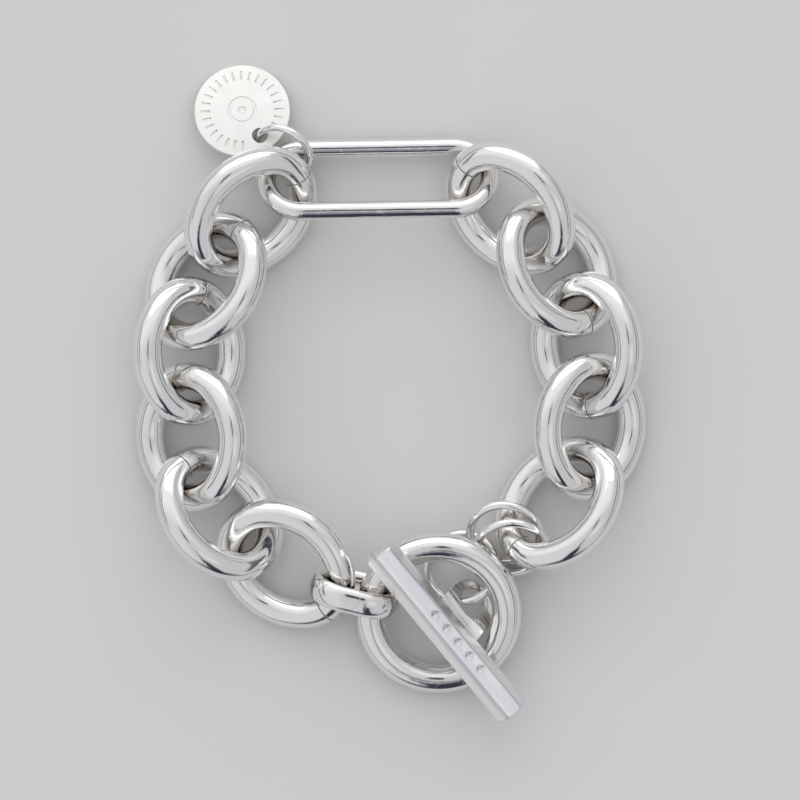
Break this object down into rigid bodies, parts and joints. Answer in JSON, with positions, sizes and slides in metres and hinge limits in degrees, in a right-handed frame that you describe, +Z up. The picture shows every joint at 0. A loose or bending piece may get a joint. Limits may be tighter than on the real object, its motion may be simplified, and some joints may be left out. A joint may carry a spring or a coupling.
{
  "type": "link bracelet",
  "caption": "Chunky silver chain bracelet of interlocked oval wire links with one long link, a bar-and-ring clasp and a small round tag, lying closed on a flat surface.",
  "frame": {"origin": "middle of the bounding box, on the surface that the bracelet lies on", "axes": "+Z up from the surface, +Y from the clasp towards the long link, +X to the right as seen from above"},
  "size_m": [0.082, 0.1052, 0.0161],
  "materials": {
    "link_silver": "polished silver, with fine wear scratches",
    "clasp_silver": "polished silver",
    "ring_silver": "drawn and polished silver wire",
    "tag_silver": "satin white silver"
  },
  "bodies": {
    "root": {"link_left_1": "link_silver", "link_left_2": "link_silver", "link_left_3": "link_silver", "link_left_4": "link_silver", "link_left_5": "link_silver", "link_left_6": "link_silver", "link_right_1": "link_silver", "link_right_2": "link_silver", "link_right_3": "link_silver", "link_right_4": "link_silver", "link_right_5": "link_silver", "connector": "link_silver", "clasp_ring": "clasp_silver", "clasp_bar": "clasp_silver", "eye_ring": "ring_silver", "pair_ring_lower": "ring_silver", "pair_ring_upper": "ring_silver", "long_link": "link_silver", "tag_ring": "ring_silver", "tag": "tag_silver"}
  },
  "joints": []
}
